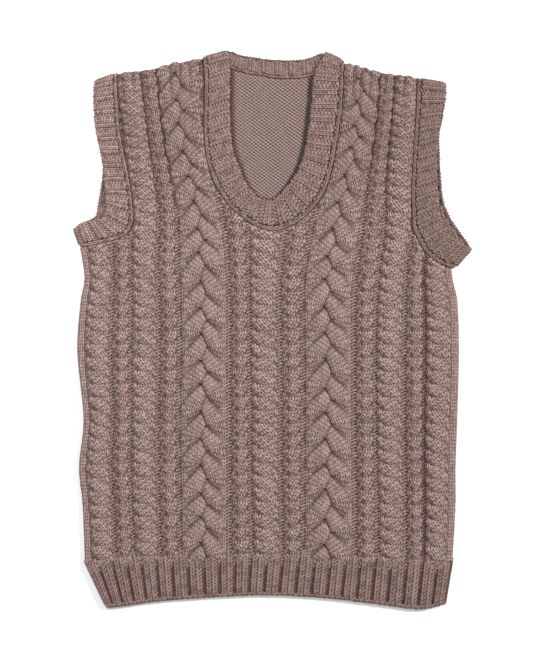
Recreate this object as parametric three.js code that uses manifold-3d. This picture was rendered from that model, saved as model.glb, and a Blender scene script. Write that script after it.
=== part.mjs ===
// Knitted sweater vest, laid flat on its back: plain back, cabled front, ribbed hem, neckband and armbands.
// Millimetres, +Z up from the surface it lies on, +Y towards the shoulders, +X to the right seen from above.
import * as THREE from "three";
import { mergeVertices } from "three/addons/utils/BufferGeometryUtils.js";
import Module from "manifold-3d";

const wasm = await Module();
wasm.setup();

// Levels of the layers
const wall = 2.8; // back cloth, from the surface up
const seamGap = 0.3; // between pieces
const frontFloor = wall + seamGap; // plain inner face of the front
const groundTop = 5.7; // purl gutters of the front
const edgeTop = 3.9; // where the front rounds away at sides and shoulders
const bandWall = 3; // rib of the neckband and armbands
const bandFold = 0.15; // inner radius of a band's fold, half the gap between its halves
const bandMiddle = bandWall + bandFold; // height of the fold's axis
const bandRib = 1.4; // how far a band's ribs stand out
const hemGround = 5.3;
const hemRib = 1.6;

// Knitting
const rowPitch = 3.77;
const rowsPerStep = 2; // knitted rows between two rows of points
const bodyRows = 152; // from the hem rib to the shoulders
const hemDroopRows = 42; // rows over which the hem's droop fades out
const straightY = -100; // height of the row where it has faded out
const shoulderRows = 30; // rows that lean towards the shoulder line
const hemRibs = 24;
const hemStationsPerRib = 4;
const hemRowShares = [0, 0.12, 0.5, 0.9, 1];
const bandRibPitch = 15.6;
const bandStationsPerRib = 2;
const foldSteps = 4;
const bandTip = 2.2; // rounded part of a band's free edge

// Reading a table written as a row of column names and rows of numbers
const table = (names, rows) =>
  rows.map((row) => Object.fromEntries(names.map((name, i) => [name, row[i]])));

// Value of one column at a place along another: a smooth curve through the rows, held level past its ends
function lookUp(rows, key, at, column) {
  const last = rows.length - 1;
  let i = 0;
  while (i < last - 1 && at > rows[i + 1][key]) i += 1;
  const slope = (a, b) => (rows[b][column] - rows[a][column]) / (rows[b][key] - rows[a][key]);
  const span = rows[i + 1][key] - rows[i][key];
  const share = THREE.MathUtils.clamp((at - rows[i][key]) / span, 0, 1);
  const startSlope = slope(Math.max(i - 1, 0), i + 1) * span;
  const endSlope = slope(i, Math.min(i + 2, last)) * span;
  const rise = rows[i + 1][column] - rows[i][column];
  const bend = startSlope + endSlope - 2 * rise;
  const hollow = 3 * rise - 2 * startSlope - endSlope;
  return rows[i][column] + share * (startSlope + share * (hollow + share * bend));
}

// Columns of the front, counted in stitches from the middle of its 108
const sideStitch = 54;
const cables = [
  ...[-48, -34, 0, 34, 48].map((middle) => ({ kind: "rope", middle, half: 3 })),
  ...[-41, -27, -7, 7, 27, 41].map((middle) => ({ kind: "small", middle, half: 2 })),
  ...[-17, 17].map((middle) => ({ kind: "plait", middle, half: 6 })),
].sort((a, b) => a.middle - b.middle);

// Strand sizes: sway and half width in stitches, lift and crown in millimetres, lean in knitted rows,
// and the stitches between two columns of points
const strandSizes = {
  rope: { strands: 2, turnRows: 8, sway: 1.4, halfWidth: 1.7, lift: 1.6, crown: 2, lean: 2, every: 1.5 },
  small: { strands: 2, turnRows: 8, sway: -0.9, halfWidth: 1.1, lift: 0.9, crown: 1.3, lean: -2, every: 2 },
  plait: { strands: 3, turnRows: 24, sway: 3.8, halfWidth: 2.2, lift: 1.8, crown: 2.4, lean: 2.4, every: 2 },
};

// Where the lines of stitches run, by height
const stitchLines = table(
  [
    "y", "leftSide", "leftRope", "leftPlait", "leftNeck", "middle",
    "rightNeck", "rightPlait", "rightRope", "rightSide",
  ],
  [
    [-266, -215, -143, -78, -49, -5, 35, 64, 138, 208],
    [-195, -218, -146, -77, -49, -7, 36, 65, 137, 212],
    [-155, -222, -147, -78, -49, -8, 36, 65, 136, 212],
    [-103, -217, -147, -78, -49, -8, 36, 65, 135, 214],
    [-22, -224, -146, -77, -49, -9, 36, 65, 135, 216],
    [35, -220, -146, -78, -49, -10, 35, 64, 136, 214],
    [58, -216, -147, -78, -50, -10, 36, 65, 138, 209],
    [79, -218, -147, -80, -51, -9, 39, 67, 140, 208],
    [104, -222, -146, -81, -53, -8, 43, 71, 144, 219],
    [136, -223, -145, -84, -58, -4, 50, 77, 146, 227],
    [173, -227, -149, -91, -66, -3, 60, 86, 147, 230],
    [213, -231, -154, -100, -76, -3, 70, 95, 149, 234],
    [254, -232, -158, -105, -81, -3, 76, 100, 152, 234],
    [294, -233, -163, -107, -83, -3, 79, 103, 154, 234],
    [328, -234, -166, -108, -84, -3, 81, 105, 156, 234],
  ],
);
const lineStitches = {
  leftSide: -54, leftRope: -34, leftPlait: -17, leftNeck: -10, middle: 0,
  rightNeck: 10, rightPlait: 17, rightRope: 34, rightSide: 54,
};

const shoulderLine = table(
  ["x", "y"],
  [
    [-178, 296], [-140, 301.5], [-108, 309], [-79, 314],
    [83, 309], [101, 304], [119, 299], [136, 296], [167, 291],
  ],
);

// Top and bottom of the hem rib, by share of its width
const hemLines = table(
  ["share", "topX", "topY", "bottomX", "bottomY"],
  [
    [0, -215, -266, -190, -319],
    [0.08, -184, -261, -160, -315],
    [0.2, -135, -259, -118, -309],
    [0.35, -70, -258, -62, -306],
    [0.5, -4, -256.5, -8, -304],
    [0.65, 62, -259, 50, -307],
    [0.8, 124, -261, 105, -313],
    [0.92, 176, -264, 158, -320],
    [1, 208, -266, 196, -315],
  ],
);

// Each half of a band, from fold to fold: its seam on the panel and its free edge
const bandColumns = ["seamX", "seamY", "edgeX", "edgeY"];
const bandTables = {
  neckband: {
    front: table(bandColumns, [
      [-79, 312, -50, 320], [-77, 294, -48, 303], [-77, 265, -48, 277], [-78, 242, -48, 252],
      [-77, 216, -47, 227], [-74, 194, -44.5, 206], [-67.5, 173, -37.5, 187], [-58, 156, -31, 172],
      [-46, 140, -23, 160.5], [-30, 127, -15, 152.5], [-15, 118, -7, 150], [0, 114, 0, 149.5],
      [15, 117, 5.5, 153], [31, 125, 13.5, 160.5], [47.5, 140, 22, 171], [60, 158, 30, 183.5],
      [68, 180, 36.5, 201], [73.5, 207.5, 41, 222.5], [78, 235, 44, 248], [81.5, 264, 46.5, 273],
      [82.5, 288, 49, 300], [83, 307, 60.5, 318],
    ]),
    back: table(bandColumns, [
      [-79, 312, -50, 320], [-62, 306.5, -44.5, 320], [-44.5, 300, -38, 317], [-27, 295, -25, 314.5],
      [-10.5, 292.5, -11, 312.5], [4, 289.5, 4, 311], [21, 289.5, 21, 310.5], [38, 290.5, 36, 311.5],
      [53, 295, 47.5, 314.5], [68, 301.5, 54.5, 318], [83, 307, 60.5, 318],
    ]),
  },
  armband_left: {
    front: table(bandColumns, [
      [-177.5, 294, -203, 285], [-177.5, 276.5, -204.5, 268.5], [-176, 253.5, -203.5, 245.5],
      [-174.5, 230.5, -201, 225], [-170.5, 207.5, -196.5, 205], [-165.5, 184.5, -193, 182],
      [-162, 164, -191, 164], [-159.5, 144, -190, 150], [-159, 125, -190.5, 138], [-165.5, 112, -193, 129],
      [-177, 105, -201, 126.5], [-194, 100.5, -209, 125.5], [-209, 97, -219, 123], [-217.5, 96, -225, 118],
    ]),
    back: table(bandColumns, [
      [-177.5, 294, -203, 285], [-178, 271, -204, 259], [-176, 242, -201, 225], [-172, 213, -196, 202],
      [-170, 190, -194, 182], [-171, 167, -196.5, 162], [-172, 147, -199.5, 144], [-176, 127, -202, 132],
      [-184, 113, -209, 127.5], [-194, 104, -215, 125], [-209, 98, -221, 122], [-217.5, 96, -225, 118],
    ]),
  },
  armband_right: {
    front: table(bandColumns, [
      [167, 288, 200, 282.5], [166, 265, 199.5, 265], [165, 242, 194.5, 248], [163, 213, 191.5, 227],
      [161.5, 184.5, 190, 205], [160, 158, 190, 182], [161, 136, 190.5, 161.5], [161.5, 118, 192, 142],
      [168, 104, 195, 125], [175, 91, 201.5, 113.5], [185.5, 81, 211, 104], [196.5, 75, 220, 98.5],
      [207, 72, 228, 95.5],
    ]),
    back: table(bandColumns, [
      [167, 288, 200, 282.5], [166, 265, 199, 262], [166, 236, 196, 242], [165, 207.5, 192.5, 224],
      [165, 179, 193, 200], [166, 156, 194.5, 175], [168, 135, 197, 151], [175, 118, 204, 132],
      [183, 104, 210, 122], [193.5, 92.5, 217, 112], [201.5, 80, 223.5, 103.5], [207, 72, 228, 95.5],
    ]),
  },
};

// Stretch of the neckband's back half whose inner ribs show in the neck
const shownNeckFrom = -34;
const shownNeckTo = 42;

const yarn = (color) => new THREE.MeshStandardMaterial({ color, roughness: 0.95, metalness: 0 });
const frontYarn = yarn(0x8d7a72);
const backYarn = yarn(0x85736b);
const bandYarn = yarn(0x897670);

// X of a stitch of the front at a height
function stitchX(stitch, y) {
  const line = Object.entries(lineStitches).map(([name, at]) => ({
    at,
    x: lookUp(stitchLines, "y", y, name),
  }));
  return lookUp(line, "at", stitch, "x");
}

// Place of a stitch in a knitted row: rows follow the hem's curve below and the shoulders above
function stitchPlace(stitch, row) {
  const shoulderStart = bodyRows - shoulderRows;
  let y = straightY + rowPitch * (row - hemDroopRows);
  const x = stitchX(stitch, y);
  if (row < hemDroopRows) {
    const hemY = lookUp(hemLines, "topX", x, "topY");
    y = THREE.MathUtils.lerp(hemY, straightY, row / hemDroopRows);
  } else if (row > shoulderStart) {
    const startY = straightY + rowPitch * (shoulderStart - hemDroopRows);
    const shoulderY = lookUp(shoulderLine, "x", x, "y");
    y = THREE.MathUtils.lerp(startY, shoulderY, (row - shoulderStart) / shoulderRows);
  }
  return new THREE.Vector2(x, y);
}

// Height of a cable above the ground: the highest of its strands, which sway from side to side as they
// rise and sink. In a rope a strand goes once round; in a plait it passes over the middle twice a turn.
function cableHeight(kind, offset, row) {
  const size = strandSizes[kind];
  const lifts = kind === "plait" ? 2 : 1;
  let height = 0;
  for (let k = 0; k < size.strands; k += 1) {
    const turn = 2 * Math.PI * (row / size.turnRows + k / size.strands);
    const across = (offset - size.sway * Math.cos(turn)) / size.halfWidth;
    if (Math.abs(across) < 1) {
      const crown = size.crown * Math.sqrt(1 - across * across);
      height = Math.max(height, size.lift * Math.sin(lifts * turn) + crown);
    }
  }
  return height;
}

// How many knitted rows the lines of points lean at a stitch, so that they run along the lobes
function leanAt(cable, stitch) {
  const share = (stitch - cable.middle) / cable.half;
  const { lean } = strandSizes[cable.kind];
  return cable.kind === "plait" ? lean * (1 - 2 * Math.abs(share)) : -lean * share;
}

// The columns of points across the front: side stitches, each cable's own spacing, gutters left plain
function frontColumns() {
  const columns = [-sideStitch, -52.6].map((stitch) => ({ stitch, lean: 0 }));
  for (const cable of cables) {
    const step = strandSizes[cable.kind].every;
    for (let offset = -cable.half; offset <= cable.half; offset += step) {
      const stitch = cable.middle + offset;
      columns.push({ stitch, cable, lean: leanAt(cable, stitch) });
    }
  }
  columns.push(...[52.6, sideStitch].map((stitch) => ({ stitch, lean: 0 })));
  return columns;
}

// Closed solid between a grid of upper points and a flat underside
function solidUnder(grid, floor) {
  const rows = grid.length;
  const columns = grid[0].length;
  const rim = [];
  for (let c = 0; c < columns; c += 1) rim.push(c);
  for (let r = 1; r < rows; r += 1) rim.push(r * columns + columns - 1);
  for (let c = columns - 2; c >= 0; c -= 1) rim.push((rows - 1) * columns + c);
  for (let r = rows - 2; r > 0; r -= 1) rim.push(r * columns);
  const points = grid.flat();
  const index = [];
  for (let r = 0; r < rows - 1; r += 1)
    for (let c = 0; c < columns - 1; c += 1) {
      const a = r * columns + c;
      const b = a + columns;
      const rise = Math.abs(points[a].z - points[b + 1].z);
      const fall = Math.abs(points[a + 1].z - points[b].z);
      if (rise < fall) index.push(a, a + 1, b + 1, a, b + 1, b);
      else index.push(a, a + 1, b, a + 1, b + 1, b);
    }
  const below = points.length;
  const lower = rim.map((i) => new THREE.Vector3(points[i].x, points[i].y, floor));
  rim.forEach((top, i) => {
    const next = (i + 1) % rim.length;
    index.push(top, below + i, rim[next], rim[next], below + i, below + next);
  });
  const outline = lower.map((p) => new THREE.Vector2(p.x, p.y));
  for (const [a, b, c] of THREE.ShapeUtils.triangulateShape(outline, []))
    index.push(below + a, below + c, below + b);
  return indexedGeometry([...points, ...lower], index);
}

function indexedGeometry(points, index) {
  const geometry = new THREE.BufferGeometry();
  geometry.setFromPoints(points);
  geometry.setIndex(index);
  geometry.computeVertexNormals();
  return geometry;
}

function toManifold(geometry) {
  const bare = new THREE.BufferGeometry();
  bare.setAttribute("position", geometry.getAttribute("position"));
  if (geometry.index) bare.setIndex(geometry.index);
  const merged = mergeVertices(bare, 1e-4);
  return new wasm.Manifold(
    new wasm.Mesh({
      numProp: 3,
      vertProperties: new Float32Array(merged.attributes.position.array),
      triVerts: new Uint32Array(merged.index.array),
    }),
  );
}

function fromManifold(solid) {
  const mesh = solid.getMesh();
  const geometry = new THREE.BufferGeometry();
  geometry.setAttribute("position", new THREE.BufferAttribute(mesh.vertProperties, 3));
  geometry.setIndex(new THREE.BufferAttribute(mesh.triVerts, 1));
  geometry.computeVertexNormals();
  return geometry;
}

function prism(outline, from, to) {
  const shape = new THREE.Shape(outline);
  const geometry = new THREE.ExtrudeGeometry(shape, { depth: to - from, bevelEnabled: false });
  geometry.translate(0, 0, from);
  return geometry;
}

// Stations of one half of a band, evenly spaced along its middle, a whole number of them to a rib
function bandHalf(rows) {
  const curve = (x, y) =>
    new THREE.CatmullRomCurve3(rows.map((row) => new THREE.Vector3(x(row), y(row), 0)));
  const seam = curve((row) => row.seamX, (row) => row.seamY);
  const edge = curve((row) => row.edgeX, (row) => row.edgeY);
  const along = curve((row) => (row.seamX + row.edgeX) / 2, (row) => (row.seamY + row.edgeY) / 2);
  const ribs = Math.round(along.getLength() / bandRibPitch);
  const steps = ribs * bandStationsPerRib;
  return Array.from({ length: steps + 1 }, (_, i) => {
    const t = along.getUtoTmapping(i / steps);
    const raised = i % bandStationsPerRib < bandStationsPerRib / 2;
    return { seam: seam.getPoint(t), edge: edge.getPoint(t), raised };
  });
}

const middleOf = (station) => station.seam.clone().add(station.edge).multiplyScalar(0.5);

// Level direction out of a fold, square to the line from seam to edge and away from a point inside the band
function foldOutward(station, inside) {
  const across = station.edge.clone().sub(station.seam).normalize();
  const outward = new THREE.Vector3(-across.y, across.x, 0);
  return outward.dot(middleOf(station).sub(inside)) < 0 ? outward.negate() : outward;
}

const bands = Object.fromEntries(
  Object.entries(bandTables).map(([name, halves]) => {
    const front = bandHalf(halves.front);
    const back = bandHalf(halves.back);
    const startOut = foldOutward(front[0], middleOf(front[2]));
    const endOut = foldOutward(front.at(-1), middleOf(front.at(-3)));
    return [name, { front, back, startOut, endOut }];
  }),
);

// Outline of what a band's seam cuts from a panel: the seam, run on past both folds, closed far outside
function bandCut(half, startOut, endOut, corners) {
  const runOn = 12;
  const seam = half.map((station) => station.seam);
  const first = seam[0].clone().addScaledVector(startOut, runOn);
  const last = seam.at(-1).clone().addScaledVector(endOut, runOn);
  return [first, ...seam, last, ...corners].map((p) => new THREE.Vector2(p.x, p.y));
}

const far = 340;
const cutCorners = {
  neckband: [new THREE.Vector2(83, far), new THREE.Vector2(-79, far)],
  armband_left: [new THREE.Vector2(-far, 90), new THREE.Vector2(-far, far), new THREE.Vector2(-170, far)],
  armband_right: [new THREE.Vector2(far, 60), new THREE.Vector2(far, far), new THREE.Vector2(165, far)],
};

function cutPanel(geometry, half) {
  let solid = toManifold(geometry);
  for (const [name, band] of Object.entries(bands)) {
    const outline = bandCut(band[half], band.startOut, band.endOut, cutCorners[name]);
    if (THREE.ShapeUtils.area(outline) < 0) outline.reverse();
    solid = solid.subtract(toManifold(prism(outline, -5, 20)));
  }
  return fromManifold(solid);
}

const seamSegments = Object.values(bands).flatMap((band) =>
  band.front.slice(1).map((station, i) => new THREE.Line3(band.front[i].seam, station.seam)),
);

// Distance from a point to the front seams, for letting the cables sink towards them
function seamDistance(x, y) {
  const point = new THREE.Vector3(x, y, 0);
  const nearest = new THREE.Vector3();
  const distance = (line) => line.closestPointToPoint(point, true, nearest).distanceTo(point);
  return Math.min(...seamSegments.map(distance));
}

// Front: points on lines of stitches, raised over the cables, rounded away at sides and shoulders
function frontPanel() {
  const columns = frontColumns();
  const sinkWidth = 9; // over which a cable sinks to a seam
  const leanInRows = 4;
  const leanOutRows = 6;
  const shoulderRoundRows = 3;
  const grid = [];
  for (let row = 0; row <= bodyRows; row += rowsPerStep) {
    const lean = Math.min(1, row / leanInRows, (bodyRows - row) / leanOutRows);
    grid.push(
      columns.map((column) => {
        const leaning = row + column.lean * lean;
        const { x, y } = stitchPlace(column.stitch, leaning);
        const sink = Math.min(1, seamDistance(x, y) / sinkWidth);
        const { cable, stitch } = column;
        let top = groundTop;
        if (cable) top += sink * cableHeight(cable.kind, stitch - cable.middle, leaning);
        if (Math.abs(stitch) === sideStitch) top = edgeTop;
        const round = THREE.MathUtils.smoothstep(bodyRows - leaning, 0, shoulderRoundRows);
        return new THREE.Vector3(x, y, THREE.MathUtils.lerp(edgeTop, top, round));
      }),
    );
  }
  return cutPanel(solidUnder(grid, frontFloor), "front");
}

// Back: the same outline, plain, cut by the back halves' seams
function backPanel() {
  const outline = [];
  const every = 4; // stitches or rows between two points of the outline
  for (let row = 0; row <= bodyRows; row += every) outline.push(stitchPlace(sideStitch, row));
  for (let stitch = sideStitch - every; stitch > -sideStitch; stitch -= every)
    outline.push(stitchPlace(stitch, bodyRows));
  for (let row = bodyRows; row >= 0; row -= every) outline.push(stitchPlace(-sideStitch, row));
  for (let stitch = every - sideStitch; stitch < sideStitch; stitch += every)
    outline.push(stitchPlace(stitch, 0));
  return cutPanel(prism(outline, 0, wall), "back");
}

// Point of the hem rib by share of its width and of its height, down from the seam gap under the panel
function hemPlace(across, down) {
  const at = (column) => lookUp(hemLines, "share", across, column);
  const top = new THREE.Vector2(at("topX"), at("topY") - seamGap);
  const bottom = new THREE.Vector2(at("bottomX"), at("bottomY"));
  return top.lerp(bottom, down);
}

// Front hem: two raised stitches, two sunk, rounded at its lower edge and sides
function frontHemRib() {
  const steps = hemRibs * hemStationsPerRib;
  const grid = hemRowShares.map((down) =>
    Array.from({ length: steps + 1 }, (_, i) => {
      const { x, y } = hemPlace(i / steps, down);
      const raised = (i + 1) % hemStationsPerRib < hemStationsPerRib / 2 && down < 1;
      const rim = i === 0 || i === steps || down === 1;
      return new THREE.Vector3(x, y, rim ? edgeTop : hemGround + (raised ? hemRib : 0));
    }),
  );
  grid.reverse();
  return solidUnder(grid, frontFloor);
}

function backHemRib() {
  const steps = 24;
  const outline = [];
  for (let i = 0; i <= steps; i += 1) outline.push(hemPlace(i / steps, 1));
  for (let i = steps; i >= 0; i -= 1) outline.push(hemPlace(i / steps, 0));
  return prism(outline, 0, wall);
}

const isShown = ({ edge, seam }) =>
  Math.min(edge.x, seam.x) > shownNeckFrom && Math.max(edge.x, seam.x) < shownNeckTo;

// Section points of a band at a station: share of the width, then distance from the band's middle layer.
// The outer face is ribbed on the front half, the inner face where the back neck shows it.
function bandSection(station, ribs) {
  const width = station.seam.distanceTo(station.edge);
  const gap = seamGap / width;
  const tip = 1 - bandTip / width;
  const half = bandWall / 2;
  const outer = ribs.outer && station.raised ? bandRib : 0;
  const inner = ribs.inner && station.raised && isShown(station) ? bandRib : 0;
  return [
    [gap, -half - inner],
    [tip, -half - inner],
    [1, 0],
    [tip, half + outer],
    [(1 + gap) / 2, half + outer],
    [gap, half + outer * 0.6],
  ];
}

// One ring: the front half on top, a half turn at one fold, the back half below, a half turn back
function bandRing({ front, back, startOut, endOut }, innerRibs) {
  const up = new THREE.Vector3(0, 0, 1);
  const rings = [];
  const addStation = (station, facing, ribs) =>
    rings.push(
      bandSection(station, ribs).map(([share, depth]) => {
        const base = station.seam.clone().lerp(station.edge, share);
        base.z = bandMiddle;
        return base.addScaledVector(facing, bandFold + bandWall / 2 + depth);
      }),
    );
  const addFold = (station, outward, from) => {
    for (let i = 1; i < foldSteps; i += 1) {
      const angle = (Math.PI * i) / foldSteps + from;
      const facing = up.clone().multiplyScalar(Math.cos(angle));
      addStation(station, facing.addScaledVector(outward, Math.abs(Math.sin(angle))), {});
    }
  };
  const down = up.clone().negate();
  front.forEach((station, i) => addStation(station, up, { outer: i > 0 && i < front.length - 1 }));
  addFold(front.at(-1), endOut, 0);
  [...back].reverse().forEach((station) => addStation(station, down, { inner: innerRibs }));
  addFold(front[0], startOut, Math.PI);
  const sides = rings[0].length;
  const index = [];
  rings.forEach((_, i) => {
    const next = (i + 1) % rings.length;
    for (let k = 0; k < sides; k += 1) {
      const l = (k + 1) % sides;
      const [a, b, c, d] = [i * sides + k, i * sides + l, next * sides + k, next * sides + l];
      index.push(a, b, d, a, d, c);
    }
  });
  return indexedGeometry(rings.flat(), index);
}

// A ring whose faces point inwards has the order of its corners turned round
function facingOut(geometry) {
  const { array } = geometry.index;
  const { position } = geometry.attributes;
  const corner = (i) => new THREE.Vector3().fromBufferAttribute(position, array[i]);
  let volume = 0;
  for (let i = 0; i < array.length; i += 3)
    volume += corner(i).dot(corner(i + 1).cross(corner(i + 2)));
  if (volume < 0) array.reverse();
  geometry.computeVertexNormals();
  return geometry;
}

const group = new THREE.Group();
function addPiece(name, geometry, material) {
  const mesh = new THREE.Mesh(geometry, material);
  mesh.name = name;
  group.add(mesh);
}

addPiece("back_panel", backPanel(), backYarn);
addPiece("back_hem_rib", backHemRib(), backYarn);
addPiece("front_panel", frontPanel(), frontYarn);
addPiece("front_hem_rib", frontHemRib(), frontYarn);
addPiece("neckband", facingOut(bandRing(bands.neckband, true)), bandYarn);
addPiece("armband_left", facingOut(bandRing(bands.armband_left, false)), bandYarn);
addPiece("armband_right", facingOut(bandRing(bands.armband_right, false)), bandYarn);

// The origin is the middle of the underside's box
const box = new THREE.Box3().setFromObject(group);
const middle = box.getCenter(new THREE.Vector3());
group.children.forEach((mesh) => mesh.position.set(-middle.x, -middle.y, 0));

export default group;
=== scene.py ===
import math
import time

import bpy
import numpy as np
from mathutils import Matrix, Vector


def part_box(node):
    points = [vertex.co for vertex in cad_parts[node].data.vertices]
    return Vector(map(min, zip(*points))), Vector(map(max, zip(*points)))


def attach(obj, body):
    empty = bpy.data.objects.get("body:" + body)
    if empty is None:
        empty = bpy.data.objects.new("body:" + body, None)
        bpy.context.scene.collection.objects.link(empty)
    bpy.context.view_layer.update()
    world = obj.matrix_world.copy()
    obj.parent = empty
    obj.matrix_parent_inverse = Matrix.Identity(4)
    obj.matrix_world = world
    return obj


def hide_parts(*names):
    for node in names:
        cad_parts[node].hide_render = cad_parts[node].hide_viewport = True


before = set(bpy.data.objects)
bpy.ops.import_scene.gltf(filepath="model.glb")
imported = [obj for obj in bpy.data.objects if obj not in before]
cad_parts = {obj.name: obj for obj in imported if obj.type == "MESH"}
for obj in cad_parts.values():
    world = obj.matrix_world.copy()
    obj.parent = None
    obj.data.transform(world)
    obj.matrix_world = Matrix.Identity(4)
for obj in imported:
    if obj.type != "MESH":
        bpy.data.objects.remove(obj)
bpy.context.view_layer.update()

startTime = time.time()


def report(stage):
    print(f"{time.time() - startTime:6.1f} s  {stage}")


# Sizes are millimetres in the vest's own layout and turn into metres in toFrame.
levels = {
    "backTop": 2.8,        # plain back cloth, from the surface up
    "seamGap": 0.3,
    "backFloor": 0.1,
    "backCore": 1.2,       # top of the plain cloth under the back's stitches
    "frontFloor": 3.1,     # plain inner face of the front
    "frontCore": 3.9,
    "ground": 5.7,         # top of the purl gutters
    "foldAxis": 2.9,       # height about which the cloth turns over at sides and shoulders
    "hemTop": 5.4,
    "bandWall": 3.0,
    "bandFold": 0.15,
}
gauge = {"row": 3.77, "bodyRows": 152, "droopRows": 42, "straightY": -100, "shoulderRows": 30}


def columns(names, *rows):
    # a table with named columns
    return dict(zip(names.split(), np.array(rows, float).T))


lineStitches = np.array([-54, -34, -17, -10, 0, 10, 17, 34, 54])
lineNames = "leftSide leftRope leftPlait leftNeck middle rightNeck rightPlait rightRope rightSide"
stitchLines = columns("y " + lineNames,
    (-266, -215, -143, -78, -49, -5, 35, 64, 138, 208),
    (-195, -218, -146, -77, -49, -7, 36, 65, 137, 212),
    (-155, -222, -147, -78, -49, -8, 36, 65, 136, 212),
    (-103, -217, -147, -78, -49, -8, 36, 65, 135, 214),
    (-22, -224, -146, -77, -49, -9, 36, 65, 135, 216),
    (35, -220, -146, -78, -49, -10, 35, 64, 136, 214),
    (58, -216, -147, -78, -50, -10, 36, 65, 138, 209),
    (79, -218, -147, -80, -51, -9, 39, 67, 140, 208),
    (104, -222, -146, -81, -53, -8, 43, 71, 144, 219),
    (136, -223, -145, -84, -58, -4, 50, 77, 146, 227),
    (173, -227, -149, -91, -66, -3, 60, 86, 147, 230),
    (213, -231, -154, -100, -74, -3, 70, 95, 149, 234),
    (254, -232, -158, -105, -78, -3, 76, 100, 152, 234),
    (294, -233, -163, -107, -79, -3, 79, 103, 154, 234),
    (328, -234, -166, -108, -80, -3, 81, 105, 156, 234))
shoulderLine = columns("x y",
    (-178, 296), (-140, 301.5), (-108, 309), (-79, 314),
    (83, 309), (101, 304), (119, 299), (136, 296), (167, 291))
hemLines = columns("share topX topY bottomX bottomY",
    (0, -215, -266, -190, -319),
    (0.08, -184, -261, -170, -316.5),
    (0.2, -135, -259, -130, -311),
    (0.35, -70, -258, -68, -306.3),
    (0.5, -4, -256.5, -8, -304),
    (0.65, 62, -259, 57, -307),
    (0.8, 124, -261, 119, -314),
    (0.92, 176, -264, 170, -320),
    (1, 208, -266, 200, -314))

bandHeads = "seamX seamY edgeX edgeY"
bandTables = {
    "neckband": {
        "front": columns(bandHeads,
            (-79, 312, -50, 320), (-77, 294, -48, 303), (-77, 265, -48, 277), (-78, 242, -48, 252),
            (-77, 216, -47, 227), (-74, 194, -44.5, 206), (-67.5, 173, -37.5, 187), (-58, 156, -31, 172),
            (-46, 140, -23, 160.5), (-30, 127, -15, 152.5), (-15, 118, -7, 150), (0, 114, 0, 149.5),
            (15, 117, 5.5, 153), (31, 125, 12, 159), (47.5, 140, 19, 167), (60, 158, 26, 177),
            (68, 180, 34, 192.5), (73.5, 207.5, 39.3, 213), (78, 235, 42.7, 237), (81.5, 264, 45.7, 264),
            (82.5, 288, 48.3, 291), (83, 307, 60.5, 318)),
        "back": columns(bandHeads,
            (-79, 312, -50, 320), (-62, 306.5, -44.5, 320), (-44.5, 300, -38, 317), (-27, 295, -25, 314.5),
            (-10.5, 292.5, -11, 312.5), (4, 289.5, 4, 311), (21, 289.5, 21, 310.5), (38, 290.5, 36, 311.5),
            (53, 295, 47.5, 314.5), (68, 301.5, 54.5, 318), (83, 307, 60.5, 318)),
    },
    "armband_left": {
        "front": columns(bandHeads,
            (-177.5, 294, -203, 285), (-177.5, 276.5, -204.6, 272), (-176, 253.5, -204, 250),
            (-174.5, 230.5, -201.6, 228.5), (-170.5, 207.5, -197, 207), (-165.5, 184.5, -193.2, 184),
            (-162, 164, -191, 164), (-159.5, 144, -190, 150), (-159, 125, -190.5, 138),
            (-165.5, 112, -193, 129), (-177, 105, -201, 126.5), (-194, 100.5, -209, 125.5),
            (-209, 97, -219, 123), (-217.5, 96, -225, 118)),
        "back": columns(bandHeads,
            (-177.5, 294, -203, 285), (-178, 271, -204, 259), (-176, 242, -201, 225), (-172, 213, -196, 202),
            (-170, 190, -194, 182), (-171, 167, -196.5, 162), (-172, 147, -199.5, 144),
            (-176, 127, -202, 132), (-184, 113, -209, 127.5), (-194, 104, -215, 125),
            (-209, 98, -221, 122), (-217.5, 96, -225, 118)),
    },
    "armband_right": {
        "front": columns(bandHeads,
            (167, 288, 200, 282.5), (166, 265, 199.5, 265), (165, 242, 194, 246), (163, 213, 191, 220),
            (161.5, 184.5, 190, 193), (160, 158, 190.2, 168), (161, 136, 191.3, 148),
            (161.5, 118, 193.5, 132),
            (168, 104, 197.5, 119.5), (175, 91, 204.5, 110), (185.5, 81, 213, 102.5), (196.5, 75, 221, 98),
            (207, 72, 228, 95.5)),
        "back": columns(bandHeads,
            (167, 288, 200, 282.5), (166, 265, 199, 262), (166, 236, 196, 242), (165, 207.5, 192.5, 224),
            (165, 179, 193, 200), (166, 156, 194.5, 175), (168, 135, 197, 151), (175, 118, 204, 132),
            (183, 104, 210, 122), (193.5, 92.5, 217, 112), (201.5, 80, 223.5, 103.5), (207, 72, 228, 95.5)),
    },
}


def smooth(xs, ys, at):
    # smooth curve through the points of a table, held level past its ends
    # ys may hold one row of values per knot
    ys, at = np.asarray(ys, float), np.asarray(at, float)
    i = np.clip(np.searchsorted(xs, at) - 1, 0, len(xs) - 2)

    def pick(j):
        return ys[j] if ys.ndim == 1 else np.take_along_axis(ys, j[None], 0)[0]

    def slope(a, b):
        return (pick(b) - pick(a)) / (xs[b] - xs[a])

    span = xs[i + 1] - xs[i]
    share = np.clip((at - xs[i]) / span, 0, 1)
    start = slope(np.maximum(i - 1, 0), i + 1) * span
    end = slope(i, np.minimum(i + 2, len(xs) - 1)) * span
    rise = pick(i + 1) - pick(i)
    bend = start + end - 2 * rise
    return pick(i) + share * (start + share * (3 * rise - 2 * start - end + share * bend))


def fade(value, low, high):
    # smooth step from 0 at low to 1 at high
    t = np.clip((value - low) / (high - low), 0, 1)
    return t * t * (3 - 2 * t)


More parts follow.
